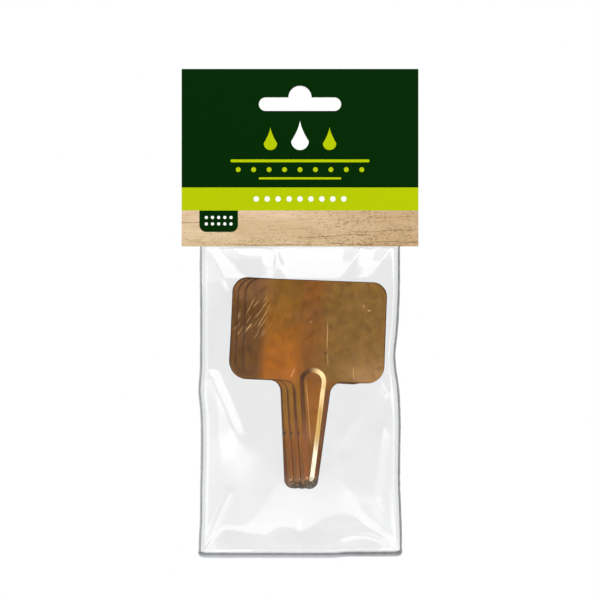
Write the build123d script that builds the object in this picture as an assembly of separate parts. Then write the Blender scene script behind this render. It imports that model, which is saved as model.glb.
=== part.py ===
from build123d import *
import math
import os

# Hanging pack of ten copper T-shaped plant label stakes. A folded header card with a hang slot is glued over
# the mouth of a clear film bag, and ten pressed copper label stakes lie fanned inside the bag. Millimetres,
# +Z up, X to the right and Y away from the viewer. The origin is where a shop's display peg bears: the top of
# the hang slot's arch, midway through the card.

# Header card: one sheet of board, folded once along its top edge.
card_width = 92.0
card_height = 69.0
card_thickness = 0.45

# Hang slot, punched through both panels of the card: a flat bar with an arch over its middle.
slot_width = 32.0
slot_bar_height = 5.3
slot_arch_radius = 4.5
slot_margin = 6.6

# Film bag: two flat webs of film, welded to each other down both sides and along the bottom.
bag_side_room = 5.1
bag_foot_room = 9.1
mouth_depth = 38.0
film_thickness = 0.2
film_margin = 0.6
film_lip = 0.8
film_top_run = 5.77
film_bottom_run = 0.4
flank_facets = 2
weld_width = 0.7
weld_foot_width = 1.85
weld_rise = 0.05
weld_bevel_share = 0.6
weld_corner_radius = 1.7

# Glue strips, one on each face of the bag, between the film and the card.
glue_thickness = 0.1
glue_inset = 6.0
glue_height = 12.0
glue_rise = 10.0

# Label stake: a flat panel to write on, and a tapered stem to push into the soil.
panel_width = 55.0
panel_height = 39.3
panel_top_radius = 5.6
panel_bottom_radius = 6.8
shoulder_radius = 4.7
stem_length = 41.65
stem_root_width = 14.6
stem_tip_radius = 3.45
sheet_thickness = 0.2

# Stiffener: a drop-shaped plateau pressed forward out of the sheet, down the middle of the stem.
stiffener_height = 0.4
stiffener_wall_run = 1.7
stiffener_top_radius = 5.15
stiffener_tip_radius = 1.9
stiffener_rise = 0.1
stiffener_length = 36.9

# Nick: a small V in the left edge of the stem, where the blank was broken off its strip.
nick_depth = 0.45
nick_half_width = 0.4
nick_drop = 19.5

# The stack: where the front stake lies in the bag, and how the others are fanned behind it.
label_gap = 0.05
film_clearance = 0.25
side_clearance = 0.8
front_label_shift = 5.0
front_label_tilt = 2.1
fan_spread = 5.5
fan_shares = (0.0, 0.51, 0.945, 1.0, 0.24, 0.71, 0.11, 0.80, 0.38, 0.60)
fan_twists = (0.0, 0.0, 0.3, 1.2, -0.1, 0.2, 0.1, 0.4, -0.2, 0.1)

# How far a stake slides up and down inside the closed bag.
travel_up = 5.0
travel_down = 18.0

# Length by which every cutter runs past what it cuts.
overrun = 2.0

# Places and sizes that follow from the values above.
label_count = len(fan_shares)
front_tilt = math.radians(front_label_tilt)
steepest_tilt = math.radians(front_label_tilt + max(fan_twists))
label_pitch = sheet_thickness + stiffener_height + label_gap
stack_depth = (label_count - 1) * label_pitch + sheet_thickness + stiffener_height
stack_right = front_label_shift + panel_width / 2 + panel_height * math.sin(front_tilt)
stack_left = front_label_shift - fan_spread - panel_width / 2
corner_rise = panel_width / 2 * math.sin(steepest_tilt)
card_top = slot_margin
card_bottom = card_top - card_height
card_gap = 2 * (film_thickness + glue_thickness)
weld_half_thickness = film_thickness + weld_rise
weld_bevel = weld_bevel_share * weld_half_thickness
bag_half_width = max(stack_right, -stack_left) + bag_side_room
film_half_width = bag_half_width - weld_width
mouth_level = card_bottom + mouth_depth
swell_start = card_bottom - film_lip
swell_top = swell_start - film_top_run
shoulder_level = swell_top - travel_up - corner_rise - panel_height
panel_low = shoulder_level - corner_rise - travel_down
tip_low = shoulder_level - stem_length - travel_down
bag_bottom = tip_low - bag_foot_room
film_bottom = bag_bottom + weld_foot_width
cavity_depth = stack_depth / 2 + film_clearance
os.makedirs("parts", exist_ok=True)


def write(shape, node):
    """Write one piece as parts/NODE.step."""
    shape.label = node
    export_step(shape, f"parts/{node}.step")


def header_card():
    """The folded card: a thin U in section, with the hang slot punched through both of its panels."""
    inside = card_gap / 2
    outside = inside + card_thickness
    fold_level = card_top - outside
    leg_height = fold_level - card_bottom
    legs = Pos(0, card_bottom + leg_height / 2)
    fold = Pos(0, fold_level)
    solid_section = legs * Rectangle(2 * outside, leg_height) + fold * Circle(outside)
    space = legs * Rectangle(2 * inside, leg_height) + fold * Circle(inside)
    card = extrude(Plane.YZ * (solid_section - space), card_width / 2, both=True)

    bar_top = -slot_arch_radius
    bar = Pos(0, bar_top - slot_bar_height / 2) * SlotOverall(slot_width, slot_bar_height)
    arch = Pos(0, bar_top) * Circle(slot_arch_radius)
    punch = extrude(Plane.XZ * (bar + arch), outside + overrun, both=True)
    return card - punch


def film_section(level, left, right, depth):
    """One level section through the front web: flat margins, two soft flanks and a flat middle."""
    flank_end = film_half_width - film_margin
    steps = [facet / flank_facets for facet in range(flank_facets + 1)]
    swell = [-depth * (1 - math.cos(math.pi * step)) / 2 for step in steps]
    left_flank = [(-flank_end + step * (left + flank_end), y) for step, y in zip(steps, swell)]
    right_flank = [(flank_end - step * (flank_end - right), y) for step, y in zip(steps, swell)]
    inner = [(-film_half_width, 0), *left_flank, *reversed(right_flank), (film_half_width, 0)]
    outer = [(x, y - film_thickness) for x, y in inner]
    return Pos(0, 0, level) * make_face(Polyline(*inner, *reversed(outer), close=True))


def front_film():
    """The front web: flat in the card, swollen over the stack, and flat again at the bottom weld."""
    panel_left = stack_left - side_clearance
    panel_right = stack_right + side_clearance
    tip_reach = stem_tip_radius + side_clearance
    tip_left = front_label_shift - fan_spread - stem_length * math.sin(steepest_tilt) - tip_reach
    tip_right = front_label_shift + tip_reach
    sections = [
        film_section(mouth_level, panel_left, panel_right, 0),
        film_section(swell_start, panel_left, panel_right, 0),
        film_section(swell_top, panel_left, panel_right, cavity_depth),
        film_section(panel_low, panel_left, panel_right, cavity_depth),
        film_section(tip_low, tip_left, tip_right, cavity_depth),
        film_section(film_bottom + film_bottom_run, tip_left, tip_right, 0),
        film_section(film_bottom, tip_left, tip_right, 0),
    ]
    return loft(sections, ruled=True)


def edge_weld():
    """The melted bead that joins the two webs: down the left side, along the bottom and up the right."""
    height = mouth_level - bag_bottom
    middle = Pos(0, bag_bottom + height / 2)
    opening_height = height - weld_foot_width + overrun
    opening = Pos(0, film_bottom + opening_height / 2)
    outline = middle * Rectangle(2 * bag_half_width, height)
    outline = fillet(outline.vertices().group_by(Axis.Y)[0], weld_corner_radius)
    bead = outline - opening * Rectangle(2 * film_half_width, opening_height)
    bead = extrude(Plane.XZ * bead, weld_half_thickness, both=True)

    def on_outer_rim(edge):
        place = edge.center()
        on_face = abs(place.Y) > weld_half_thickness - weld_bevel
        at_side = abs(place.X) > film_half_width + weld_bevel
        at_foot = place.Z < film_bottom - weld_bevel
        below_mouth = place.Z < mouth_level - weld_bevel
        return on_face and below_mouth and (at_side or at_foot)

    return chamfer(bead.edges().filter_by(on_outer_rim), weld_bevel)


def glue_strip(side):
    """One strip of glue, on the front (side -1) or the back (side +1) of the bag."""
    middle_y = side * (film_thickness + glue_thickness / 2)
    middle_z = card_bottom + glue_rise + glue_height / 2
    return Pos(0, middle_y, middle_z) * Box(2 * (bag_half_width - glue_inset), glue_thickness, glue_height)


def drop_outline(top_radius, tip_radius):
    """A drop: two circles on the stem's middle line, joined by their outer tangents."""
    lean = math.asin((top_radius - tip_radius) / stiffener_length)
    top = (0, stiffener_rise)
    tip = (0, stiffener_rise - stiffener_length)
    across, down = math.cos(lean), math.sin(lean)

    def on(centre, radius, side):
        return (side * radius * across, centre[1] - radius * down)

    top_arc = ThreePointArc(on(top, top_radius, -1), (0, top[1] + top_radius), on(top, top_radius, 1))
    right_flank = Line(on(top, top_radius, 1), on(tip, tip_radius, 1))
    tip_arc = ThreePointArc(on(tip, tip_radius, 1), (0, tip[1] - tip_radius), on(tip, tip_radius, -1))
    left_flank = Line(on(tip, tip_radius, -1), on(top, top_radius, -1))
    return make_face([top_arc, right_flank, tip_arc, left_flank])


def stiffener():
    """The pressed plateau, from the plane y = 0 forward, with a sloping wall all round."""
    foot = drop_outline(stiffener_top_radius, stiffener_tip_radius)
    crest = drop_outline(stiffener_top_radius - stiffener_wall_run, stiffener_tip_radius - stiffener_wall_run)
    return loft([Plane.XZ * foot, Plane.XZ.offset(stiffener_height) * crest], ruled=True)


def label_blank():
    """The flat T outline, with its shoulder line on z = 0 and its middle line on x = 0."""
    half_panel = panel_width / 2
    half_root = stem_root_width / 2
    tip_centre = stem_tip_radius - stem_length
    lean = math.acos(stem_tip_radius / math.hypot(half_root, tip_centre)) - math.atan2(-tip_centre, half_root)
    tip_side = stem_tip_radius * math.cos(lean)
    tip_turn = tip_centre - stem_tip_radius * math.sin(lean)
    sides = Polyline(
        (tip_side, tip_turn),
        (half_root, 0),
        (half_panel, 0),
        (half_panel, panel_height),
        (-half_panel, panel_height),
        (-half_panel, 0),
        (-half_root, 0),
        (-tip_side, tip_turn),
    )
    tip = ThreePointArc((-tip_side, tip_turn), (0, -stem_length), (tip_side, tip_turn))
    blank = make_face([sides, tip])

    def corners(level, inner):
        near = [v for v in blank.vertices() if abs(v.Y - level) < panel_bottom_radius / 2]
        return [v for v in near if (abs(v.X) < (half_panel + half_root) / 2) == inner]

    blank = fillet(corners(panel_height, False), panel_top_radius)
    blank = fillet(corners(0, False), panel_bottom_radius)
    blank = fillet(corners(0, True), shoulder_radius)
    nick_side = half_root - (half_root - tip_side) * nick_drop / -tip_turn
    mouth = -nick_side - nick_depth
    nick = [(mouth, nick_half_width), (-nick_side + nick_depth, 0), (mouth, -nick_half_width)]
    return blank - Pos(0, -nick_drop) * make_face(Polyline(*nick, close=True))


def label_stake():
    """One stake: the blank with the stiffener pressed forward, so that its back has the matching hollow."""
    front_face = sheet_thickness / 2
    plate = extrude(Plane.XZ * label_blank(), front_face, both=True)
    pressed = Pos(0, -front_face, 0) * stiffener()
    hollow = Pos(0, front_face, 0) * stiffener()
    return plate + pressed - hollow


write(header_card(), "header_card")
web = front_film()
write(web, "front_film")
write(mirror(web, about=Plane.XZ), "back_film")
write(edge_weld(), "edge_weld")
write(glue_strip(-1), "front_glue_strip")
write(glue_strip(1), "back_glue_strip")

stake = label_stake()
front_sheet_y = stiffener_height + sheet_thickness / 2 - stack_depth / 2
for number, (fan_share, twist) in enumerate(zip(fan_shares, fan_twists)):
    place = Pos(
        front_label_shift - fan_share * fan_spread,
        front_sheet_y + number * label_pitch,
        shoulder_level,
    )
    lean = Rot(0, front_label_tilt + twist, 0)
    write(place * lean * stake, f"label_{number + 1:02d}")
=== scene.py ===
import math

import bpy
import numpy as np
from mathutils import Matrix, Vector, noise


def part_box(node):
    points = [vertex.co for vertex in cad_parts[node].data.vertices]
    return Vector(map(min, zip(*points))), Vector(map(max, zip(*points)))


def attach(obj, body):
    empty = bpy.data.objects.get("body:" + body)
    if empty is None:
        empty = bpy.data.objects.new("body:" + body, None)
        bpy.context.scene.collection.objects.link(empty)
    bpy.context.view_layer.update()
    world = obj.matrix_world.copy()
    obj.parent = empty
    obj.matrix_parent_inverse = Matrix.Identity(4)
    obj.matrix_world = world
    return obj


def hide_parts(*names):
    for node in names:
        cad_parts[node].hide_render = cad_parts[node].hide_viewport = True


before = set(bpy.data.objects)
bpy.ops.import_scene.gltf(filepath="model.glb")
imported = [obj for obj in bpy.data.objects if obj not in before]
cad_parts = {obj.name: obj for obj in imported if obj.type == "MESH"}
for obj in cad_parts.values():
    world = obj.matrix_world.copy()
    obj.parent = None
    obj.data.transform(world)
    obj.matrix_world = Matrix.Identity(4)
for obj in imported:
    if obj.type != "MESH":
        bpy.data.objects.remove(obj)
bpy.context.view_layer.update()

# A hanging pack of ten copper plant label stakes: a clear film bag glued into a folded header card.
# Metres, +Z up, +X to the viewer's right and +Y away from the viewer. The origin is at the top of
# the hang slot's arch.
MM = 0.001
scene = bpy.context.scene


# Label stakes. Each is one blank cut from thin rolled copper, with a drop-shaped stiffener pressed
# forward along its stem. The metal is bright and lightly scratched, its sheared rim is darker and
# its tip is tarnished. The stakes lie loose, one behind the other, in the bag.
def add_node(tree, kind, inputs=None, **settings):
    """One new shader node. Each of its inputs is a value or the result of another node."""
    made = tree.nodes.new(kind)
    for name, value in settings.items():
        setattr(made, name, value)
    for socket, value in (inputs or {}).items():
        if isinstance(value, bpy.types.NodeSocket):
            tree.links.new(value, made.inputs[socket])
        else:
            made.inputs[socket].default_value = value
    return made


class Finish:
    """A procedural material: each method adds nodes and gives the result that the next one takes."""

    def __init__(self, name):
        self.material = bpy.data.materials.new(name)
        self.material.use_nodes = True
        self.tree = self.material.node_tree
        self.tree.nodes.clear()
        self.here = self.node("ShaderNodeTexCoord").outputs["Object"]

    def node(self, kind, inputs=None, **settings):
        return add_node(self.tree, kind, inputs, **settings)

    def math(self, operation, *values):
        return self.node("ShaderNodeMath", dict(enumerate(values)), operation=operation).outputs[0]

    def both(self, *masks):
        """1 where every mask is 1: their product."""
        share = masks[0]
        for mask in masks[1:]:
            share = self.math("MULTIPLY", share, mask)
        return share

    def either(self, *masks):
        """1 where any mask is 1: the largest of them."""
        share = masks[0]
        for mask in masks[1:]:
            share = self.math("MAXIMUM", share, mask)
        return share

    def length(self, first, second):
        """The length of a line that runs so far along each of two axes."""
        squares = self.math("ADD", self.math("POWER", first, 2.0), self.math("POWER", second, 2.0))
        return self.math("SQRT", squares)

    def split(self, vector):
        return self.node("ShaderNodeSeparateXYZ", {0: vector}).outputs

    def placed(self, vector, place=(0, 0, 0), turn=(0, 0, 0), size=(1, 1, 1)):
        """The same point in a frame that is moved, turned and stretched."""
        inputs = {"Vector": vector, "Location": place, "Rotation": turn, "Scale": size}
        return self.node("ShaderNodeMapping", inputs, vector_type="TEXTURE").outputs[0]

    def noise(self, vector, scale, detail=3.0, roughness=0.5, distortion=0.0):
        inputs = {"Vector": vector, "Scale": scale, "Detail": detail, "Roughness": roughness}
        inputs["Distortion"] = distortion
        return self.node("ShaderNodeTexNoise", inputs).outputs[0]

    def ramp(self, value, start, end, low=0.0, high=1.0):
        """Low up to start and high from end, with a soft turn between them."""
        inputs = {0: value, 1: start, 2: end, 3: low, 4: high}
        return self.node("ShaderNodeMapRange", inputs, interpolation_type="SMOOTHSTEP").outputs[0]

    def mix(self, share, first, second):
        inputs = {0: share, 6: first, 7: second}
        return self.node("ShaderNodeMix", inputs, data_type="RGBA").outputs[2]

    def bump(self, height, depth, strength=1.0, under=None):
        inputs = {"Height": height, "Distance": depth, "Strength": strength}
        if under is not None:
            inputs["Normal"] = under
        return self.node("ShaderNodeBump", inputs).outputs[0]

    def mark(self, vector, place, turn, length, width):
        """1 on a thin straight mark centred at place, which is turned in the plane y = 0."""
        x, _, z = self.split(self.placed(vector, place, (0, turn, 0)))
        across = self.ramp(self.math("ABSOLUTE", x), width / 2, 0.0)
        along = self.ramp(self.math("ABSOLUTE", z), length / 2, length / 4)
        return self.both(across, along)

    def close(self, shader):
        self.node("ShaderNodeOutputMaterial", {"Surface": shader})
        return self.material


def colour(red, green, blue):
    """A colour as the eye reads it, 0 to 255, as the linear values that a shader takes."""
    def linear(value):
        share = value / 255
        return share / 12.92 if share <= 0.04045 else ((share + 0.055) / 1.055) ** 2.4
    return (linear(red), linear(green), linear(blue), 1.0)


panel_height = 39.3
panel_half_width = 27.5 * MM
panel_half_height = panel_height / 2 * MM
panel_corner = 6.2 * MM
stem_half_root = 7.3 * MM
stem_taper_share = 0.1003
tip_radius = 3.45 * MM
tip_drop = 38.2 * MM
shoulder_radius = 4.7 * MM
shoulder_reach = 16 * MM
shoulder_rise = 5 * MM
stiffener_taper_share = 0.0864
sheet_half = 0.1 * MM
rim_width = 0.45 * MM
rim_dark_width = 0.4 * rim_width
rim_strength = 0.85
flat_facing = 0.986
cut_facing = 0.5
label_tilts = (2.1, 2.1, 2.4, 3.3, 2.0, 2.3, 2.2, 2.5, 1.9, 2.2)

# The panel's broad tones: copper colour with painted reflections of the studio.
brown_copper_reflection = colour(122, 78, 28)
red_copper_reflection = colour(154, 94, 28)
middle_copper_reflection = colour(158, 107, 28)
orange_copper_reflection = colour(197, 112, 0)
olive_copper_reflection = colour(153, 110, 44)
tan_copper_reflection = colour(194, 146, 90)
rosy_copper_reflection = colour(176, 122, 78)
stem_copper = colour(170, 102, 16)
yellow_copper = colour(158, 116, 30)
foot_copper = colour(145, 98, 60)
rim_copper = colour(84, 52, 30)
streak_copper = colour(216, 146, 70)
mottle_copper = colour(112, 78, 40)
scratch_and_highlight_copper = colour(246, 196, 132)
speck_copper = colour(236, 214, 178)
pit_mark_and_nick_shade = colour(50, 30, 16)
tarnish = colour(70, 60, 46)

# The stiffener's wall: a painted highlight on the right from its top to its foot, painted shade on the left.
wall_highlight_top = colour(234, 204, 146)
wall_highlight_middle = colour(200, 163, 92)
wall_highlight_foot = colour(255, 246, 214)
wall_highlight_streak = colour(140, 96, 50)
shade_top = colour(96, 54, 12)
shade_foot = colour(140, 86, 46)
shade_beside = colour(112, 66, 38)


def sheet_rim(finish, u, v):
    """How near a point is to the blank's cut outline: 1 on the rim, 0 from rim_width inside it."""
    # The panel is a rounded rectangle.
    side = finish.math("ABSOLUTE", u)
    rise = finish.math("ABSOLUTE", finish.math("SUBTRACT", v, panel_half_height))
    over_x = finish.math("SUBTRACT", side, panel_half_width - panel_corner)
    over_z = finish.math("SUBTRACT", rise, panel_half_height - panel_corner)
    round_part = finish.length(finish.math("MAXIMUM", over_x, 0.0), finish.math("MAXIMUM", over_z, 0.0))
    flat_part = finish.math("MINIMUM", finish.math("MAXIMUM", over_x, over_z), 0.0)
    panel = finish.math("SUBTRACT", finish.math("ADD", round_part, flat_part), panel_corner)

    # The stem narrows downwards, and a fillet joins it to the panel's lower edge.
    below_fillet = finish.math("MINIMUM", v, -shoulder_radius)
    half_stem = finish.math("MULTIPLY_ADD", below_fillet, stem_taper_share, stem_half_root)
    clear_x = finish.math("SUBTRACT", finish.math("ADD", half_stem, shoulder_radius), side)
    clear_z = finish.math("ADD", v, shoulder_radius)
    clear = finish.length(finish.math("MAXIMUM", clear_x, 0.0), finish.math("MAXIMUM", clear_z, 0.0))
    flank = finish.either(
        finish.math("SUBTRACT", shoulder_radius, clear),
        finish.math("SUBTRACT", v, shoulder_rise),
        finish.math("SUBTRACT", side, shoulder_reach),
    )

    # Its tip is round.
    below = finish.math("MINIMUM", finish.math("ADD", v, tip_drop), 0.0)
    tip = finish.math("SUBTRACT", finish.length(side, below), tip_radius)
    in_tip = finish.math("LESS_THAN", below, 0.0)
    above_tip = finish.math("SUBTRACT", 1.0, in_tip)
    stem = finish.math("ADD", finish.both(flank, above_tip), finish.both(tip, in_tip))
    inside = finish.math("MINIMUM", panel, stem)
    return finish.ramp(inside, -rim_width, -rim_dark_width)


def copper_finish(number, place, tilt):
    """Rolled copper for one stake. The pattern is laid in the stake's own plane: u across, v up."""
    finish = Finish(f"copper_{number:02d}")
    first = number == 1
    local = finish.placed(finish.here, place, (0, tilt, 0))
    u, _, v = finish.split(local)
    drift = finish.placed(local, (0.37 * number, 0.11 * number, 0.23 * number))

    # Broad tones across the panel, browner to the left, orange in the middle and olive to the right, tan low
    # on the right and rosy high on the left: painted reflections of the studio in the polished sheet, over
    # its copper colour. On the stakes behind the first these bands are shifted sideways.
    slow = finish.noise(drift, 45.0, 2.0)
    sway = finish.math("MULTIPLY_ADD", slow, 4 * MM, -2 * MM)
    bent_u = finish.math("ADD", u, sway)
    offset = 0.0 if first else number * 3 % 10 * 1.1 * MM
    left_reflection_band = finish.ramp(bent_u, -22 * MM + offset, -17.5 * MM + offset)
    red_reflection_band = finish.ramp(bent_u, -9 * MM + offset, -2 * MM + offset)
    right_reflection_band = finish.ramp(bent_u, -1 * MM + offset, 8 * MM + offset)
    low_reflection_band = finish.ramp(v, 37 * MM, 1 * MM)
    middle = finish.mix(low_reflection_band, middle_copper_reflection, orange_copper_reflection)
    tone = finish.mix(left_reflection_band, brown_copper_reflection, middle)
    tone = finish.mix(red_reflection_band, tone, red_copper_reflection)
    tone = finish.mix(right_reflection_band, tone, olive_copper_reflection)
    low_right_reflection = finish.both(finish.ramp(bent_u, 8 * MM, 22 * MM), finish.ramp(v, 14 * MM, 1 * MM))
    tone = finish.mix(low_right_reflection, tone, tan_copper_reflection)
    high_left_reflection = finish.both(finish.ramp(u, -12 * MM, -22 * MM), finish.ramp(v, 27 * MM, 36 * MM, 0.0, 0.5))
    tone = finish.mix(high_left_reflection, tone, rosy_copper_reflection)
    on_stem = finish.ramp(v, 3 * MM, -5 * MM)
    tone = finish.mix(on_stem, tone, stem_copper)
    stem_left = finish.both(finish.ramp(u, -1 * MM, -4 * MM), finish.ramp(v, -24 * MM, -8 * MM, 0.0, 0.6))
    tone = finish.mix(finish.both(stem_left, on_stem), tone, yellow_copper)
    tone = finish.mix(finish.ramp(v, -14 * MM, -33 * MM), tone, foot_copper)

    # Fine streaks of the rolling, up and down the sheet, and a light mottle of fingerprints.
    streaks = finish.noise(finish.placed(drift, size=(1, 1, 26)), 1500.0, 4.0, 0.6)
    mottle = finish.noise(drift, 330.0, 5.0, 0.62, 0.6)
    tone = finish.mix(finish.ramp(streaks, 0.45, 0.85, 0.0, 0.2), tone, streak_copper)
    tone = finish.mix(finish.ramp(mottle, 0.5, 0.85, 0.0, 0.24), tone, mottle_copper)

    # Scratches: short fine ones that lean to the right, thick on the left, and a few single marks.
    leaning = finish.placed(drift, turn=(0, math.radians(33), 0), size=(1, 1, 13))
    fine = finish.noise(leaning, 2100.0, 2.0, 0.5)
    patch = finish.ramp(finish.noise(drift, 130.0, 1.0), 0.36, 0.56)
    left_patch = finish.math("MAXIMUM", finish.ramp(u, -14 * MM, -20 * MM), 0.12)
    high_patch = finish.both(finish.ramp(v, 13 * MM, 21 * MM), finish.ramp(v, 35 * MM, 31 * MM))
    patch = finish.both(patch, finish.both(high_patch, left_patch))
    scratches_and_highlight = finish.both(finish.ramp(fine, 0.58, 0.68, 0.0, 0.75), patch)

    # Single marks, with their places from the shoulder line in millimetres, turns in degrees, lengths
    # and widths. The front stakes and the last one show them all, the others no more than three.
    marks = [
        ((-8.0, 2.9), 20, 4.6, 0.6),
        ((-20.3, 23.9), 29, 9.4, 0.46),
        ((-25.2, 28.6), 25, 8.4, 0.4),
        ((-23.0, 29.4), 38, 4.0, 0.4),
        ((-22.0, 25.6), 34, 5.2, 0.34),
        ((-25.6, 23.4), 30, 4.2, 0.36),
        ((4.9, 18.0), -1, 13.0, 0.42),
        ((5.4, 8.6), -6, 4.6, 0.4),
        ((15.6, 3.4), -7, 5.6, 0.36),
        ((18.6, 29.9), 10, 1.2, 0.8),
        ((20.8, 28.2), 70, 1.4, 0.7),
        ((-1.6, 23.0), 12, 1.3, 0.8),
        # The last mark is no scratch but a painted highlight along the inner edge of the stiffener's left
        # wall.
        ((-1.3, -12.0), -6.5, 29.0, 0.34),
    ]
    shown = number < 4 or number == len(label_tilts)
    turned = 1 if first else -1
    for (across, up), turn, length, width in marks if shown else marks[:3]:
        spot = (turned * across * MM, 0, (up if first else panel_height - up) * MM)
        line = finish.mark(local, spot, math.radians(turn), length * MM, width * MM)
        scratches_and_highlight = finish.either(scratches_and_highlight, finish.math("MULTIPLY", line, 0.8))
    tone = finish.mix(scratches_and_highlight, tone, scratch_and_highlight_copper)
    # A dark pit mark on the panel, and the nick at the stem's left edge painted dark as the shade in it.
    pit = finish.mark(local, (turned * 4.4 * MM, 0, 11.2 * MM), 0.0, 1.2 * MM, 1.0 * MM)
    nick = finish.mark(local, (-4.9 * MM, 0, -20.2 * MM), 0.0, 1.6 * MM, 1.4 * MM)
    tone = finish.mix(finish.either(pit, nick), tone, pit_mark_and_nick_shade)

    # The stiffener's sloping wall, with a painted highlight on its right and painted shade on its left, and
    # a strip of painted shade on the stem's right side beside it.
    facing = finish.split(finish.node("ShaderNodeTexCoord").outputs["Normal"])
    level = finish.math("ABSOLUTE", facing[1])
    tipped = finish.math("LESS_THAN", level, flat_facing)
    sloped = finish.both(tipped, finish.math("GREATER_THAN", level, cut_facing))
    # pale is the painted highlight, with darker streaks through it; shaded is the painted shade.
    pale = finish.mix(finish.ramp(v, -4 * MM, -13 * MM), wall_highlight_top, wall_highlight_middle)
    pale = finish.mix(finish.ramp(v, -20 * MM, -30 * MM), pale, wall_highlight_foot)
    drawn = finish.noise(finish.placed(drift, size=(1, 1, 12)), 1900.0, 3.0, 0.6)
    pale = finish.mix(finish.ramp(drawn, 0.42, 0.7, 0.0, 0.45), pale, wall_highlight_streak)
    shaded = finish.mix(finish.ramp(v, -8 * MM, -27 * MM), shade_top, shade_foot)
    wall = finish.mix(finish.ramp(facing[0], -0.1, 0.2), shaded, pale)
    straight_u = finish.math("MULTIPLY_ADD", v, -stiffener_taper_share, u)
    beside = finish.ramp(straight_u, 4.7 * MM, 5.5 * MM)
    beside = finish.both(beside, finish.ramp(v, 0.0, -5 * MM, 0.0, 0.7))
    tone = finish.mix(beside, tone, shade_beside)
    tone = finish.mix(sloped, tone, wall)

    # Tarnish on the tip, and the dark sheared rim.
    grime = finish.noise(drift, 900.0, 6.0, 0.7)
    reach = finish.ramp(v, -35.5 * MM, -41 * MM)
    right_reach = finish.math("MULTIPLY_ADD", finish.ramp(u, -2.5 * MM, 2 * MM), 0.2, 0.24)
    dirty = finish.math("ADD", grime, finish.math("MULTIPLY", reach, right_reach))
    dirty = finish.both(finish.ramp(dirty, 0.64, 0.76), finish.ramp(v, -33 * MM, -37 * MM))
    tone = finish.mix(dirty, tone, tarnish)
    speck = finish.noise(finish.placed(drift, (0.2, 0, 0.1)), 1500.0, 2.0)
    speck = finish.both(finish.ramp(speck, 0.62, 0.7), finish.ramp(v, -36 * MM, -38.5 * MM))
    tone = finish.mix(speck, tone, speck_copper)
    rim = finish.math("MULTIPLY", sheet_rim(finish, u, v), rim_strength)
    tone = finish.mix(rim, tone, rim_copper)

    rough = finish.ramp(mottle, 0.3, 0.8, 0.3, 0.44)
    rough = finish.math("ADD", rough, finish.math("MULTIPLY", dirty, 0.25))
    wave = finish.bump(finish.noise(drift, 28.0, 1.0), 0.5 * MM, 0.5)
    rolled = finish.bump(streaks, 0.008 * MM, 0.5, wave)
    worn = finish.bump(scratches_and_highlight, 0.03 * MM, 0.6, rolled)
    pitted = finish.bump(dirty, 0.04 * MM, 0.8, worn)
    shader = finish.node("ShaderNodeBsdfPrincipled", {
        "Base Color": tone,
        "Metallic": 1.0,
        "Roughness": rough,
        "Normal": pitted,
    })
    return finish.close(shader.outputs[0])


for number, degrees in enumerate(label_tilts, start=1):
    node = f"label_{number:02d}"
    low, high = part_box(node)
    tilt = math.radians(degrees)
    middle_x = (low.x + high.x) / 2 - panel_half_height * math.sin(tilt)
    shoulder = low.z + tip_radius + tip_drop * math.cos(tilt)
    copper = copper_finish(number, (middle_x, high.y - sheet_half, shoulder), tilt)
    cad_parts[node].data.materials.clear()
    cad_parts[node].data.materials.append(copper)


# Bag webs. Two sheets of thin clear film hang from the card's mouth, swell over the stack of
# stakes and meet again at the welded edges. The film is stiff enough to crease: pleats fan out
# under the card, ridges run down to the corners, and domes stand over the bottom weld.
front_low, front_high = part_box("front_film")
card_low, card_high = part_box("header_card")
film_half_width = front_high.x / MM
mouth_drop = (front_high.z - card_low.z) / MM
foot_drop = (card_low.z - front_low.z) / MM
swell = -front_low.y / MM
film_gauge = 0.06
flat_gap = 0.14
weld_rise_run = 2.3
mouth_rise_run = 12.6
steepest_at_weld = 4
web_columns = 150
web_rows = 280

# Places on the bag in millimetres: across from its middle, and down from the card's lower edge.
stack_left = -28.8
stack_right = 34.6
tip_left = -7.2
tip_right = 9.3
panel_low = 72.0
tip_low = 112.0


def smooth(value, start, end):
    """0 before start and 1 after end, with an even turn between them."""
    share = np.clip((value - start) / (end - start), 0, 1)
    return share * share * (3 - 2 * share)


def hump(value, middle, reach):
    """A rounded bump that is 1 at its middle."""
    return np.exp(-((value - middle) / reach) ** 2)


def bag_side(drop, side):
    """Where the film meets the weld, left (-1) or right (+1): pulled in and out as the stack pulls it."""
    if side > 0:
        pull = -1.75 * hump(drop, 43, 10) - 0.35 * hump(drop, 28, 8)
        pull = pull + 0.75 * smooth(drop, 88, 116) + 0.25 * hump(drop, 70, 12)
    else:
        pull = -0.65 * hump(drop, 56, 6) + 0.35 * hump(drop, 76, 16) - 0.5 * smooth(drop, 104, 117)
        pull = pull - 0.15 * hump(drop, 8, 8)
    return side * film_half_width + pull * smooth(drop, 0, 6)


def weld_sway(across, drop):
    """How far the welded edge stands out of the bag's plane, forward as a positive length."""
    left = np.interp(drop, [0, 22, 45, 68, 92, 110, 120], [0, -0.5, 0.1, 0.7, 0.3, 0.3, 0])
    left = left + 0.12 * np.sin(drop / 6.3)
    right = np.interp(drop, [0, 20, 45, 60, 75, 95, 112, 120], [0, 0.7, 0.5, -0.2, 0.2, 0.5, 0.5, 0])
    right = right + 0.12 * np.sin(drop / 5.1 + 1)
    foot = 0.25 + 0.15 * np.sin(across / 5 + 1.1)
    at_left = smooth(across, -30, -38.5) * smooth(drop, 1, 14) * smooth(drop, 118, 104)
    at_right = smooth(across, 34.5, 38.5) * smooth(drop, 1, 14) * smooth(drop, 118, 104)
    at_foot = smooth(drop, 108, 118) * smooth(np.abs(across), 38, 28)
    return left * at_left + right * at_right + foot * at_foot


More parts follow.
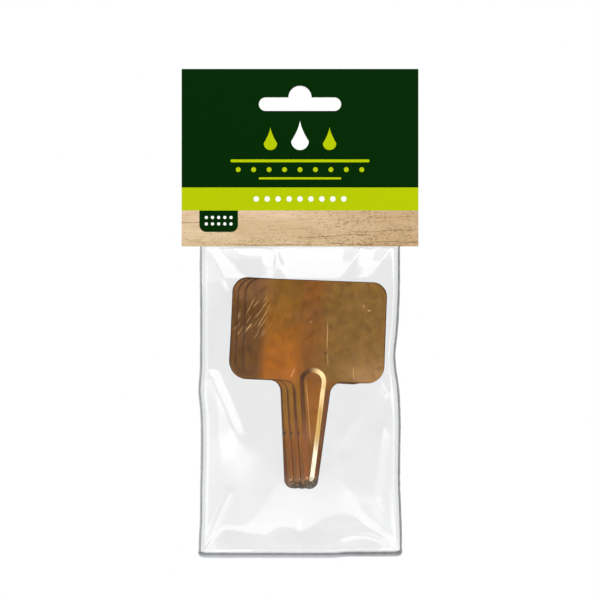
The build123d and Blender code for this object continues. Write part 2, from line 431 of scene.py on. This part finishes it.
def reach_along(across, drop, path):
    """Each point's distance from a fold, positive on its right, and the share of the fold passed."""
    lengths = [math.dist(a, b) for a, b in zip(path, path[1:])]
    nearest = np.full(across.shape, 1e9)
    signed = np.zeros(across.shape)
    share = np.zeros(across.shape)
    gone = 0.0
    for (x0, d0), (x1, d1), length in zip(path, path[1:], lengths):
        dx, dd = (x1 - x0) / length, (d1 - d0) / length
        along = np.clip((across - x0) * dx + (drop - d0) * dd, 0, length)
        off_x, off_d = across - x0 - along * dx, drop - d0 - along * dd
        distance = np.hypot(off_x, off_d)
        turn = np.where(off_x * dd - off_d * dx >= 0, 1.0, -1.0)
        closer = distance < nearest
        nearest = np.where(closer, distance, nearest)
        signed = np.where(closer, turn * distance, signed)
        share = np.where(closer, (gone + along) / sum(lengths), share)
        gone += length
    return signed, share


def fold(across, drop, path, rise, left, right, fade_in=0.15, fade_out=0.25, even=False):
    """One ridge of film: its crest follows the path and falls away over left and right millimetres, on
    the right in one even slope where even is set."""
    signed, share = reach_along(across, drop, path)
    crest_radius = 0.25
    soft = np.sqrt(signed ** 2 + crest_radius ** 2) - crest_radius
    away = np.where(signed < 0, soft / left, soft / right)
    wall = np.where(even & (signed > 0), np.clip(1 - away, 0, 1), np.exp(-away))
    ends = smooth(share, 0, fade_in) * smooth(share, 1, 1 - fade_out)
    return rise * wall * ends


def lie_over_stack(across, drop):
    """The film's form across the bag: up steeply from each weld, then nearly flat over the stack."""
    narrowing = smooth(drop, panel_low - 4, tip_low)
    left = stack_left + (tip_left - stack_left) * narrowing
    right = stack_right + (tip_right - stack_right) * narrowing
    left_edge, right_edge = bag_side(drop, -1), bag_side(drop, 1)
    nearer_edge = np.minimum((across - left_edge) / weld_rise_run, (right_edge - across) / weld_rise_run)
    turn = np.clip(nearer_edge, 0, 1)
    off_left = np.clip((left - across) / (left - left_edge), 0, 1)
    off_right = np.clip((across - right) / (right_edge - right), 0, 1)
    sag = 0.10 + 0.16 * narrowing
    sunk = sag * np.maximum(off_left, off_right) ** 1.6
    return turn * (2 - turn) * (1 - sunk)


def foot_crease(across):
    """How far down the film meets its lowest crease: three domes of film stand below it."""
    line = [
        (-38.3, 119.0), (-37.3, 118.5), (-34.0, 114.1), (-30.6, 110.5), (-27.9, 109.8), (-24.5, 109.9),
        (-19.0, 111.3), (-12.9, 112.0), (-11.2, 110.5), (-7.9, 108.7), (-4.6, 108.9), (-1.2, 109.9),
        (1.0, 110.8), (6.0, 107.6), (11.5, 104.8), (17.1, 103.7), (21.5, 104.9), (25.4, 108.0),
        (29.9, 111.8), (36.0, 116.9), (38.3, 118.8),
    ]
    return np.interp(across, [x for x, _ in line], [down for _, down in line])


def close_at_foot(form, drop, crease, low, lead, roundness):
    """The film slopes down over lead millimetres to low at its crease, stands in a dome below it and
    then turns in to the bottom weld: the rounder the dome, the later."""
    low = np.minimum(low, form)
    before = np.clip((crease - drop) / lead, 0, 1)
    above = low + (form - low) * (1 - (1 - before) ** 1.4)
    passed = np.clip((drop - crease) / (foot_drop - crease), 0, 1)
    below = (low + 0.03 * np.maximum(drop - crease, 0)) * np.sqrt(1 - passed ** roundness)
    return np.where(drop < crease, above, below)


def foot_rise(across, drop):
    """How much higher the bottom weld lies on the right than on the left."""
    return 0.5 * smooth(across, 12, 20) * smooth(drop, 100, foot_drop)


def rise_from_mouth(across, drop, creases):
    """How far the film has risen below the card, 1 at the stack's top. Each crease has its place at the
    card and at the stack, and its slope at both: 0 for even, 1 for round and 2 for steep."""
    run = mouth_rise_run
    passed = np.clip(drop / run, 0, 1)
    evenly = np.interp(drop, [0, 7.4, run, 75], [0, 0.80, 1.08, 1])
    bulge = np.interp(drop, [0, 3, 7.4, run, 75], [0.88, 0.88, 0.93, 1.08, 1])
    rounded = (1 - np.exp(-drop / 1.5)) * bulge
    at_once = np.interp(drop, [0, 0.6, 3.3, 7.4, run, 75], [0, 0.80, 0.86, 0.94, 1.08, 1])

    def risen(high, low):
        share = high + (low - high) * passed
        round_part = (rounded - evenly) * np.minimum(share, 1)
        return evenly + round_part + (at_once - rounded) * np.maximum(share - 1, 0)

    rise = evenly
    for one, other in zip(creases, creases[1:]):
        left = one[0] + (one[1] - one[0]) * passed
        right = other[0] + (other[1] - other[0]) * passed
        part = (across - left) / np.maximum(right - left, 0.001)
        facet = risen(*one[2:]) * (1 - part) + risen(*other[2:]) * part
        rise = np.where((part >= 0) & (part < 1), facet, rise)
    return rise


def crumple(across, drop, seed, scale):
    """Small uneven dents, from a smooth random field."""
    points = zip(across.ravel() / scale, drop.ravel() / scale)
    values = [noise.noise(Vector((x, d, seed))) for x, d in points]
    return np.array(values).reshape(across.shape)


def dents(across, drop, broad_seed, fine_seed):
    """The film's slight unevenness, broad and fine together."""
    return 0.05 * crumple(across, drop, broad_seed, 9.0) + 0.015 * crumple(across, drop, fine_seed, 3.5)


def front_form(across, drop):
    """How far the front web stands forward of its flat gap, with the creases that it shows."""
    form = (swell - flat_gap) * lie_over_stack(across, drop)

    # Facets that fan out from the card to the stack, and the pleat at their left.
    form *= rise_from_mouth(across, drop, [
        (-38.4, -38.4, 0.0, 0.0), (-34.8, -29.2, 0.0, -0.3), (-32.2, -21.2, 0.0, -0.3),
        (-26.2, -19.6, 1.9, 1.6), (-22.5, -18.6, 1.7, 1.5), (-18.5, -17.4, 1.6, 1.4),
        (-13.4, -16.4, 1.5, 1.4), (-9.9, -10.8, 0.0, 0.0), (-9.4, -9.8, 0.0, 1.4),
        (-9.2, -6.2, 0.0, 1.4), (-9.0, -3.8, 0.0, -0.3), (17.4, 13.6, 0.0, -0.3),
        (24.6, 15.8, 1.9, 1.8), (24.8, 19.9, 1.9, 1.8), (29.6, 24.6, 0.0, 0.0),
        (35.5, 27.0, 1.9, 1.6), (35.6, 35.6, 1.9, 1.5), (38.4, 38.4, 1.2, 0.8),
    ])
    pleat_edge = np.interp(drop, [0, 18], [-35.2, -26.8])
    pleat = np.clip((across + film_half_width) / (pleat_edge + film_half_width), 0, 1)
    form *= 1 - (1 - pleat) * smooth(drop, 26, 10)

    # Ridges on the left and on the right of the panels and stems, then two broad swells.
    wedge = [(-35.8, 47.5), (-34.0, 51), (-29.2, 62.5), (-23.8, 75.5), (-21.4, 81)]
    form += fold(across, drop, wedge, 0.95, 6.0, 3.6, 0.1, 0.35, True)
    form += fold(across, drop, [(-26.4, 93), (-31.3, 104), (-37.4, 118)], 0.4, 0.9, 1.1, 0.1, 0.1)
    form += fold(across, drop, [(30.4, 52), (34.2, 59)], 0.22, 0.8, 0.6, 0.2, 0.2)
    right_ridge = [(32.6, 67.5), (29.9, 87), (28.6, 96.5), (30.4, 102), (33.4, 109.5)]
    form += fold(across, drop, right_ridge, 0.4, 2.4, 1.5)
    form += fold(across, drop, [(27.0, 59), (15.5, 76), (11.8, 84)], 0.3, 5.0, 5.0, 0.4, 0.4)
    form += fold(across, drop, [(15.5, 78), (19.5, 92), (21.0, 101)], 0.35, 4.0, 3.0, 0.3, 0.3)
    form += hump(across, -20.0, 10.0) * hump(drop, 76.0, 10.0)
    form += 0.75 * smooth(across, -26, -8) * smooth(across, 16, 2) * smooth(drop, 74, 90)

    # The foot: the film comes down to its crease, stands in three domes and has a ridge on two of them.
    low = np.interp(across, [-38.3, -34, -26, -18, -9.5, -1, 1, 8, 12, 24, 32, 36, 38.3],
                    [0.3, 2.3, 2.85, 3.05, 2.95, 3.0, 3.22, 3.22, 3.0, 2.6, 2.5, 2.1, 0.3])
    lead = 1.8 + 2.2 * smooth(across, 5, 20) + 16 * smooth(across, -24, -8) * smooth(across, 27, 8)
    form = close_at_foot(form, drop, foot_crease(across), low, lead, 70.0)
    dome_ridge = [(14.3, 114.1), (19.8, 112.4), (25.4, 112.2), (29.9, 113.5), (36, 116.8)]
    form += fold(across, drop, dome_ridge, 0.35, 0.8, 0.9)
    form += fold(across, drop, [(-34, 117.4), (-17, 117.0)], 0.2, 0.6, 0.6, 0.2, 0.2)
    return form + dents(across, drop, 3.1, 8.4)


def back_form(across, drop):
    """How far the back web stands back of its flat gap: it lies close over the stack's flat backs."""
    form = (swell - flat_gap) * lie_over_stack(across, drop)
    form *= np.interp(drop, [0, 0.8, 5, mouth_rise_run], [0, 0.85, 0.97, 1])
    form += fold(across, drop, [(35, 42), (32, 62), (27, 84)], 0.3, 5.0, 2.5, 0.2, 0.5)
    form += fold(across, drop, [(-28, 80), (-16, 98), (-9, 108)], 0.2, 5.0, 5.0, 0.3, 0.3)
    form = close_at_foot(form, drop, np.full(across.shape, 108.0), 3.3, 30.0, 50.0)
    return form + dents(across, drop, 5.7, 1.9)


def film_web(name, side, form):
    """One web of film, from the mouth in the card to the foot: a grid drawn into its creases."""
    bpy.ops.object.select_all(action="DESELECT")
    bpy.ops.mesh.primitive_grid_add(x_subdivisions=web_columns, y_subdivisions=web_rows, size=2)
    web = bpy.context.object
    web.name = name
    count = len(web.data.vertices)
    place = np.zeros(count * 3)
    web.data.vertices.foreach_get("co", place)
    column, row = place.reshape(count, 3)[:, 0], place.reshape(count, 3)[:, 1]
    drop = -mouth_drop + (foot_drop + mouth_drop) * (1 - row) / 2

    # The columns crowd towards the welds, where the film turns most.
    crowded = 0.35
    spread = np.sin(column * math.pi / 2) * crowded + column * (1 - crowded)
    left, right = bag_side(drop, -1), bag_side(drop, 1)
    across = left + (right - left) * (spread + 1) / 2

    # The film lies flat between the card's panels and comes free below them.
    free = smooth(drop, 0.0, 0.5)
    drawn_in = steepest_at_weld * np.minimum(across - left, right - across)
    out = flat_gap + film_gauge + np.clip(form(across, drop), 0, drawn_in) * free
    depth = -side * out - weld_sway(across, drop)
    level = card_low.z - (drop - foot_rise(across, drop)) * MM
    points = np.stack([across * MM, depth * MM, level], axis=1)
    web.data.vertices.foreach_set("co", points.ravel())
    bpy.ops.object.mode_set(mode="EDIT")
    bpy.ops.mesh.select_all(action="SELECT")
    bpy.ops.mesh.normals_make_consistent(inside=False)
    bpy.ops.object.mode_set(mode="OBJECT")
    if web.data.polygons[count // 2].normal.y * side > 0:
        bpy.ops.object.mode_set(mode="EDIT")
        bpy.ops.mesh.flip_normals()
        bpy.ops.object.mode_set(mode="OBJECT")
    bpy.ops.object.modifier_add(type="SOLIDIFY")
    web.modifiers[-1].thickness = film_gauge * MM
    web.modifiers[-1].offset = -1
    bpy.ops.object.modifier_apply(modifier=web.modifiers[-1].name)
    bpy.ops.object.shade_smooth()
    return web


def film_shine(finish, through, rough):
    """A clear body under its shine, which grows towards the edge-on view, the same from both faces."""
    face_on = 0.055
    turned_away = finish.node("ShaderNodeLayerWeight", {"Blend": 0.5}).outputs["Facing"]
    gloss = finish.math("MULTIPLY_ADD", finish.math("POWER", turned_away, 5.0), 1 - face_on, face_on)
    shine = finish.node("ShaderNodeBsdfAnisotropic", {"Roughness": rough}).outputs[0]
    return finish.node("ShaderNodeMixShader", {0: gloss, 1: through, 2: shine}).outputs[0]


def film_finish():
    """Clear film: it lets the light through, dulls a little where it is seen edge on, and shines."""
    finish = Finish("clear_film")
    scuffs = finish.noise(finish.here, 700.0, 5.0, 0.65, 0.4)
    streaks = finish.noise(finish.placed(finish.here, size=(1, 1, 9)), 260.0, 4.0, 0.6)
    edge_on = finish.node("ShaderNodeLayerWeight", {"Blend": 0.3}).outputs["Facing"]
    dulled = finish.math("POWER", edge_on, 1.6)
    tint = finish.mix(dulled, (0.993, 0.994, 0.995, 1.0), (0.76, 0.77, 0.78, 1.0))
    through = finish.node("ShaderNodeBsdfTransparent", {"Color": tint}).outputs[0]
    haze = finish.node("ShaderNodeBsdfDiffuse", {"Color": (0.9, 0.92, 0.93, 1.0)}).outputs[0]
    share = finish.ramp(streaks, 0.3, 0.9, 0.001, 0.006)
    body = finish.node("ShaderNodeMixShader", {0: share, 1: through, 2: haze}).outputs[0]
    return finish.close(film_shine(finish, body, finish.ramp(scuffs, 0.35, 0.8, 0.13, 0.2)))


clear_film = film_finish()
for node, side, form in (("front_film", 1, front_form), ("back_film", -1, back_form)):
    web = film_web(f"{node.split('_')[0]}_web", side, form)
    web.data.materials.append(clear_film)
    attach(web, "pack")
    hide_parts(node)


# Edge weld. The two webs are melted together by a hot wire: a narrow uneven bead runs down both
# sides, and a wider flat band closes the bottom. It is thicker than the webs, so it shows darker, and its
# colour also carries a painted drop shadow: darker on the right side and at the top of the bottom band.
bead_half_width = 0.36
bead_half_depth = 0.27
foot_half_width = 0.96
foot_half_depth = 0.22
bead_sides = 12
bead_steps = 560
foot_radius = 1.6
web_overlap = 0.16
mouth_squeeze = 0.72


def weld_path(share):
    """A point of the bead's middle line, across and down, from the left mouth round to the right one."""
    side_length = mouth_drop + foot_drop - foot_radius
    foot_length = 2 * (film_half_width - foot_radius)
    turn_length = foot_radius * math.pi / 2
    total = 2 * (side_length + turn_length) + foot_length
    gone = share * total
    half = np.where(gone <= total / 2, gone, total - gone)
    on_side = half <= side_length
    on_turn = (half > side_length) & (half <= side_length + turn_length)
    angle = np.clip((half - side_length) / foot_radius, 0, math.pi / 2)
    drop = np.where(on_side, half - mouth_drop, foot_drop - foot_radius + foot_radius * np.sin(angle))
    inset = np.where(on_side, 0.0, foot_radius * (1 - np.cos(angle)))
    inset = np.where(on_side | on_turn, inset, half - side_length - turn_length + foot_radius)
    side = np.where(gone <= total / 2, -1.0, 1.0)
    edge = np.where(side < 0, -bag_side(drop, -1), bag_side(drop, 1))
    across = side * (edge - inset * edge / film_half_width)
    return across, drop


def weld_and_shadow_finish():
    """Film that has melted and set: cloudy and grey, with a painted shadow, darker on the right and where
    the webs end, paler to the rim.
    """
    finish = Finish("melted_film_painted_shadow")
    x, _, z = finish.split(finish.here)
    lumps = finish.noise(finish.here, 900.0, 4.0, 0.6)
    # Painted drop shadow: the sides darker to the right, the bottom band darkest at its top and paler below.
    side = finish.mix(finish.ramp(x, -30 * MM, 30 * MM), colour(206, 207, 209), colour(186, 187, 189))
    paler = finish.ramp(z, front_low.z + 0.1 * MM, front_low.z - 1.5 * MM)
    band = finish.mix(paler, colour(172, 173, 175), colour(222, 223, 225))
    tint = finish.mix(finish.math("LESS_THAN", z, front_low.z + 0.5 * MM), side, band)
    tint = finish.mix(finish.ramp(lumps, 0.35, 0.7, 0.0, 0.25), tint, colour(232, 233, 235))
    through = finish.node("ShaderNodeBsdfTransparent", {"Color": tint}).outputs[0]
    haze = finish.node("ShaderNodeBsdfDiffuse", {"Color": (0.8, 0.81, 0.82, 1.0)}).outputs[0]
    body = finish.node("ShaderNodeMixShader", {0: 0.04, 1: through, 2: haze}).outputs[0]
    return finish.close(film_shine(finish, body, finish.ramp(lumps, 0.3, 0.8, 0.15, 0.35)))


bpy.ops.object.select_all(action="DESELECT")
bpy.ops.mesh.primitive_grid_add(x_subdivisions=bead_sides, y_subdivisions=bead_steps, size=2)
bead = bpy.context.object
bead.name = "weld_bead"
count = len(bead.data.vertices)
place = np.zeros(count * 3)
bead.data.vertices.foreach_get("co", place)
around, along = place.reshape(count, 3)[:, 0] * math.pi, (place.reshape(count, 3)[:, 1] + 1) / 2
nudge = 0.5 / bead_steps
x0, d0 = weld_path(np.clip(along - nudge, 0, 1))
x1, d1 = weld_path(np.clip(along + nudge, 0, 1))
x, d = weld_path(along)
length = np.hypot(x1 - x0, d1 - d0)
out_x, out_d = -(d1 - d0) / length, (x1 - x0) / length
at_foot = smooth(d, foot_drop - foot_radius, foot_drop)
half_width = bead_half_width + (foot_half_width - bead_half_width) * at_foot
half_depth = bead_half_depth + (foot_half_depth - bead_half_depth) * at_foot
uneven = 1 + (0.3 * crumple(x, d, 2.2, 2.4) + 0.2 * crumple(x, d, 6.1, 0.9)) * (1 - 0.85 * at_foot)
reach = np.cos(around) * half_width * uneven + half_width - web_overlap
lift = np.sin(around) * half_depth * uneven * np.where(d < 0.5, mouth_squeeze, 1.0)
points = np.stack([
    (x + out_x * reach) * MM,
    (-weld_sway(x, d) + lift) * MM,
    card_low.z - (d + out_d * reach - foot_rise(x, d)) * MM,
], axis=1)
bead.data.vertices.foreach_set("co", points.ravel())
bpy.ops.object.mode_set(mode="EDIT")
bpy.ops.mesh.select_all(action="SELECT")
bpy.ops.mesh.remove_doubles(threshold=0.001 * MM)
bpy.ops.mesh.select_all(action="DESELECT")
bpy.ops.mesh.select_non_manifold()
bpy.ops.mesh.fill_holes(sides=0)
bpy.ops.mesh.select_all(action="SELECT")
bpy.ops.mesh.normals_make_consistent(inside=False)
bpy.ops.object.mode_set(mode="OBJECT")
bpy.ops.object.shade_smooth()
bead.data.materials.append(weld_and_shadow_finish())
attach(bead, "pack")
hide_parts("edge_weld")


# Glue strips. A band of hot glue on each face of the bag's mouth holds it between the card's two
# panels. It sets dull and slightly yellow, with the beads of its nozzle pressed flat.
def glue_finish():
    """Dull glue, slightly yellow, pressed into level beads."""
    finish = Finish("set_glue")
    beads = finish.node("ShaderNodeTexWave", {
        "Vector": finish.here, "Scale": 160.0, "Distortion": 2.5, "Detail": 2.0, "Detail Scale": 2.0,
    }, bands_direction="Z").outputs["Fac"]
    cloud = finish.noise(finish.here, 420.0, 4.0)
    tone = finish.mix(finish.ramp(cloud, 0.3, 0.75), colour(238, 230, 206), colour(222, 208, 170))
    shader = finish.node("ShaderNodeBsdfPrincipled", {
        "Base Color": tone,
        "Roughness": finish.ramp(beads, 0.0, 1.0, 0.35, 0.6),
        "Normal": finish.bump(beads, 0.04 * MM, 0.6),
    })
    return finish.close(shader.outputs[0])


glue = glue_finish()
for node in ("front_glue_strip", "back_glue_strip"):
    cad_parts[node].data.materials.clear()
    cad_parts[node].data.materials.append(glue)


# Header card. White board printed in dark green, with a lime band and a strip of wood grain, scored
# and folded over the bag's mouth, then punched with the hang slot. The cut edges show the white core.
fold_level = card_high.z - card_high.y
skin_depth = card_high.y - 0.02 * MM
lime_top = -39.55 * MM
wood_top = -48.49 * MM
tab_middle = -31.6 * MM
tab_half_width = 7.5 * MM
tab_low = -56.84 * MM
tab_corner = 2.7 * MM

dark_green = colour(0, 38, 0)
lime = colour(178, 196, 0)
white_board = colour(240, 238, 232)
ink_white = colour(246, 248, 244)


def rounded_patch(finish, x, z, middle_x, middle_z, half_x, half_z, corner):
    """1 inside a rounded rectangle on the card's face."""
    off_x = finish.math("ABSOLUTE", finish.math("SUBTRACT", x, middle_x))
    off_z = finish.math("ABSOLUTE", finish.math("SUBTRACT", z, middle_z))
    over_x = finish.math("MAXIMUM", finish.math("SUBTRACT", off_x, half_x - corner), 0.0)
    over_z = finish.math("MAXIMUM", finish.math("SUBTRACT", off_z, half_z - corner), 0.0)
    return finish.math("LESS_THAN", finish.length(over_x, over_z), corner)


def dot_row(finish, x, z, first_x, pitch, count, level, radius):
    """1 inside a row of evenly spaced dots."""
    start = first_x - pitch / 2
    step = finish.math("WRAP", x, start + pitch, start)
    off_x = finish.math("SUBTRACT", step, first_x)
    off_z = finish.math("SUBTRACT", z, level)
    in_row = finish.both(
        finish.math("GREATER_THAN", x, start),
        finish.math("LESS_THAN", x, start + pitch * count),
    )
    return finish.both(in_row, finish.math("LESS_THAN", finish.length(off_x, off_z), radius))


def water_drop(finish, x, z, middle, level, radius, height):
    """1 inside a plain drop: a circle below that narrows to a point above."""
    off_x = finish.math("ABSOLUTE", finish.math("SUBTRACT", x, middle))
    off_z = finish.math("SUBTRACT", z, level)
    up = finish.math("MAXIMUM", finish.math("DIVIDE", off_z, height), 0.0)
    to_point = finish.math("SUBTRACT", 1.0, finish.math("MINIMUM", up, 1.0))
    half = finish.math("MULTIPLY", finish.math("POWER", to_point, 1.5), radius)
    above = finish.both(finish.math("LESS_THAN", off_x, half), finish.math("GREATER_THAN", off_z, 0.0))
    far = finish.length(off_x, finish.math("MINIMUM", off_z, 0.0))
    below = finish.both(finish.math("LESS_THAN", far, radius), finish.math("LESS_THAN", off_z, 0.0))
    return finish.either(above, below)


def wood_print(finish, x, z):
    """A printed board of pale oak: level fibres, short dark pores and a few long cracks."""
    fibres = finish.noise(finish.placed(finish.here, size=(14, 1, 1)), 1300.0, 5.0, 0.62, 0.3)
    cloud = finish.noise(finish.placed(finish.here, size=(4, 1, 1)), 150.0, 3.0)
    along_pores = finish.placed(finish.here, (0.3, 0, 0.2), size=(3.4, 1, 1))
    pores = finish.noise(along_pores, 3100.0, 3.0, 0.6, 0.2)
    worn = finish.noise(finish.placed(finish.here, (0.1, 0, 0.7), size=(2.5, 1, 1)), 330.0, 3.0)
    tone = finish.mix(finish.ramp(cloud, 0.35, 0.65), colour(226, 201, 166), colour(210, 182, 143))
    tone = finish.mix(finish.ramp(z, -53 * MM, wood_top, 0.0, 0.6), tone, colour(232, 200, 174))
    tone = finish.mix(finish.ramp(x, -16 * MM, 36 * MM, 0.0, 0.75), tone, colour(196, 164, 124))
    tone = finish.mix(finish.ramp(fibres, 0.42, 0.7, 0.0, 0.6), tone, colour(196, 166, 124))
    right_side = finish.ramp(x, -30 * MM, 46 * MM, 0.0, 0.085)
    low_side = finish.ramp(z, -55 * MM, card_low.z, 0.0, 0.05)
    eaten = finish.math("MULTIPLY_ADD", worn, 0.24, finish.math("ADD", right_side, low_side))
    pore = finish.ramp(finish.math("ADD", pores, eaten), 0.74, 0.82, 0.0, 0.85)
    tone = finish.mix(pore, tone, colour(150, 122, 86))
    wobble = finish.noise(finish.placed(finish.here, size=(3, 1, 1)), 240.0, 3.0)
    lifted = finish.math("MULTIPLY_ADD", wobble, 1.6 * MM, -0.8 * MM)
    bent = finish.node("ShaderNodeCombineXYZ", {0: x, 2: finish.math("ADD", z, lifted)}).outputs[0]
    cracks = [
        ((-42.5, -52.9), 90.5, 13, 0.5),
        ((14.0, -58.4), 87.5, 34, 0.45),
        ((33.0, -56.3), 86.5, 32, 0.5),
        ((38.0, -60.6), 89.0, 24, 0.55),
        ((-12.0, -61.8), 90.0, 40, 0.5),
        ((22.0, -61.6), 91.0, 30, 0.5),
        ((36.0, -51.0), 88.0, 22, 0.3),
        ((-2.0, -55.8), 88.5, 20, 0.25),
    ]
    for (across, up), turn, length, width in cracks:
        spot = (across * MM, 0, up * MM)
        line = finish.mark(bent, spot, math.radians(turn), length * MM, width * MM)
        tone = finish.mix(finish.math("MULTIPLY", line, 0.8), tone, colour(128, 98, 66))
    return tone


def card_finish():
    """The print by place on the card, over the white core that shows on every cut edge."""
    finish = Finish("printed_card")
    x, y, z = finish.split(finish.here)
    front = finish.math("LESS_THAN", y, 0.0)
    tone = finish.mix(finish.math("LESS_THAN", z, lime_top), dark_green, lime)
    tone = finish.mix(finish.math("LESS_THAN", z, wood_top), tone, wood_print(finish, x, z))
    tab_reach = 10 * MM
    tab = (tab_middle, tab_low + tab_reach, tab_half_width, tab_reach, tab_corner)
    in_tab = finish.both(rounded_patch(finish, x, z, *tab), finish.math("LESS_THAN", z, wood_top))
    tone = finish.mix(in_tab, tone, dark_green)

    # A generic design: drops, rules and rows of dots, in white and in lime.
    white = finish.either(
        dot_row(finish, x, z, -36.4 * MM, 2.4 * MM, 5, -51.2 * MM, 0.62 * MM),
        dot_row(finish, x, z, -36.4 * MM, 2.4 * MM, 5, -53.7 * MM, 0.62 * MM),
        dot_row(finish, x, z, -17.0 * MM, 4.25 * MM, 9, -44.0 * MM, 1.05 * MM),
        water_drop(finish, x, z, 0.0, -21.6 * MM, 3.4 * MM, 8.2 * MM),
    )
    in_lime = finish.either(
        water_drop(finish, x, z, -11.5 * MM, -22.4 * MM, 2.6 * MM, 6.4 * MM),
        water_drop(finish, x, z, 11.5 * MM, -22.4 * MM, 2.6 * MM, 6.4 * MM),
        rounded_patch(finish, x, z, 0.0, -29.2 * MM, 27 * MM, 0.55 * MM, 0.5 * MM),
        dot_row(finish, x, z, -24.0 * MM, 6.0 * MM, 9, -32.6 * MM, 0.95 * MM),
        rounded_patch(finish, x, z, 0.0, -36.0 * MM, 16 * MM, 0.4 * MM, 0.35 * MM),
    )
    tone = finish.mix(in_lime, tone, lime)
    tone = finish.mix(white, tone, ink_white)
    back = finish.mix(finish.math("LESS_THAN", z, wood_top), dark_green, lime)
    tone = finish.mix(front, back, tone)

    # Below the skin, round the fold too, is the board's white core.
    over = finish.math("MAXIMUM", finish.math("SUBTRACT", z, fold_level), 0.0)
    printed = finish.math("GREATER_THAN", finish.length(y, over), skin_depth)
    fibre = finish.noise(finish.here, 2600.0, 4.0, 0.6)
    board = finish.mix(finish.ramp(fibre, 0.3, 0.7), white_board, colour(226, 222, 212))
    tone = finish.mix(printed, board, tone)
    grain = finish.noise(finish.here, 900.0, 5.0, 0.6)
    rough = finish.ramp(grain, 0.3, 0.7, 0.46, 0.6)
    shader = finish.node("ShaderNodeBsdfPrincipled", {
        "Base Color": tone,
        "Roughness": rough,
        "Specular IOR Level": 0.03,
        "Normal": finish.bump(fibre, 0.012 * MM, 0.5, finish.bump(grain, 0.03 * MM, 0.3)),
    })
    return finish.close(shader.outputs[0])


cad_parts["header_card"].data.materials.clear()
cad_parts["header_card"].data.materials.append(card_finish())


# Studio. A pale floor far below the hanging pack, a white cove behind it and a dim room in front,
# a large softbox on the right, two more over the camera, a weak fill on the left and a low reflector.
pack_middle = -0.09
floor_level = -0.45
floor_radius = 1.15
floor_corners = 96
picture_pixels = 600
pixel_size = 0.3885
camera_level = -83.26 * MM
lens = 120.0
sensor = 36.0


def softbox(name, turn, rise, distance, width, height, radiance):
    """A soft lamp at a turn and rise in degrees from the camera's side, aimed at the pack's middle."""
    lamp = bpy.data.lights.new(name, "AREA")
    lamp.shape = "RECTANGLE"
    lamp.size = width
    lamp.size_y = height
    lamp.energy = radiance * math.pi * width * height
    a, e = math.radians(turn), math.radians(rise)
    box = bpy.data.objects.new(name, lamp)
    aim = Vector((0, 0, pack_middle))
    away = Vector((math.sin(a) * math.cos(e), -math.cos(a) * math.cos(e), math.sin(e)))
    box.location = aim + away * distance
    box.rotation_euler = away.to_track_quat("Z", "Y").to_euler()
    box.visible_camera = False
    scene.collection.objects.link(box)


softbox("key_softbox", 33, 12, 1.2, 0.87, 0.95, 2.0)
softbox("top_softbox", 0, 35.5, 1.2, 0.9, 0.8, 2.0)
softbox("roof_softbox", 0, 73, 1.2, 1.0, 0.66, 2.0)
softbox("fill_softbox", -62, 10, 1.3, 0.8, 1.0, 0.8)
softbox("low_reflector", -27, -17, 1.2, 0.6, 0.5, 1.5)

world = bpy.data.worlds.new("studio")
scene.world = world
world.use_nodes = True
world.node_tree.nodes.clear()


def studio_world():
    """White to the camera and through the film, white behind the pack and dim before it in the gloss."""
    tree = world.node_tree

    def slope(value, start, end, low, high):
        return add_node(tree, "ShaderNodeMapRange", {0: value, 1: start, 2: end, 3: low, 4: high}).outputs[0]

    def combined(operation, *values):
        return add_node(tree, "ShaderNodeMath", dict(enumerate(values)), operation=operation).outputs[0]

    ray = add_node(tree, "ShaderNodeLightPath").outputs
    direction = add_node(tree, "ShaderNodeTexCoord").outputs["Generated"]
    toward = add_node(tree, "ShaderNodeSeparateXYZ", {0: direction}).outputs
    room = slope(toward[1], -0.97, -0.86, 0.04, 0.35)
    table = slope(toward[2], -0.15, -0.25, 0.6, 1.9)
    near = slope(toward[2], 0.0, -0.15, 0.07, 1.0)
    under = slope(toward[2], -0.6, -0.85, 1.0, 0.3)
    table = combined("MULTIPLY", combined("MULTIPLY", table, near), under)
    ceiling = slope(toward[2], 0.7, 0.85, 0.0, 0.9)
    left_wall = slope(toward[0], -0.5, -0.95, 0.0, 0.5)
    cove = slope(toward[1], -0.3, 0.3, 0.0, 1.0)
    gloss = room
    for part in (table, ceiling, left_wall, cove):
        gloss = combined("MAXIMUM", gloss, part)
    seen = combined("MAXIMUM", ray["Is Camera Ray"], ray["Is Transmission Ray"])
    plain_level = 0.29
    unseen = {0: ray["Is Glossy Ray"], 2: plain_level, 3: gloss}
    level = add_node(tree, "ShaderNodeMix", unseen, data_type="FLOAT").outputs[0]
    level = add_node(tree, "ShaderNodeMix", {0: seen, 2: level, 3: 1.0}, data_type="FLOAT").outputs[0]
    light = add_node(tree, "ShaderNodeBackground", {"Color": (1, 1, 1, 1), "Strength": level}).outputs[0]
    add_node(tree, "ShaderNodeOutputWorld", {"Surface": light})


studio_world()

bpy.ops.object.select_all(action="DESELECT")
bpy.ops.mesh.primitive_circle_add(
    vertices=floor_corners,
    radius=floor_radius,
    fill_type="NGON",
    location=(0, 0, floor_level),
)
floor = bpy.context.object
floor.name = "floor"
floor_paint = Finish("pale_floor")
speck = floor_paint.noise(floor_paint.here, 60.0, 4.0)
floor_paint.close(floor_paint.node("ShaderNodeBsdfPrincipled", {
    "Base Color": floor_paint.mix(speck, colour(232, 232, 230), colour(238, 238, 237)),
    "Roughness": 0.7,
}).outputs[0])
floor.data.materials.append(floor_paint.material)
floor.visible_glossy = False

picture_width = picture_pixels * pixel_size * MM
eye = bpy.data.cameras.new("camera")
eye.lens = lens
eye.sensor_width = sensor
camera = bpy.data.objects.new("camera", eye)
camera.location = (0, card_low.y - picture_width * lens / sensor, camera_level)
camera.rotation_euler = (math.radians(90), 0, 0)
scene.collection.objects.link(camera)
scene.camera = camera
scene.view_settings.view_transform = "Standard"
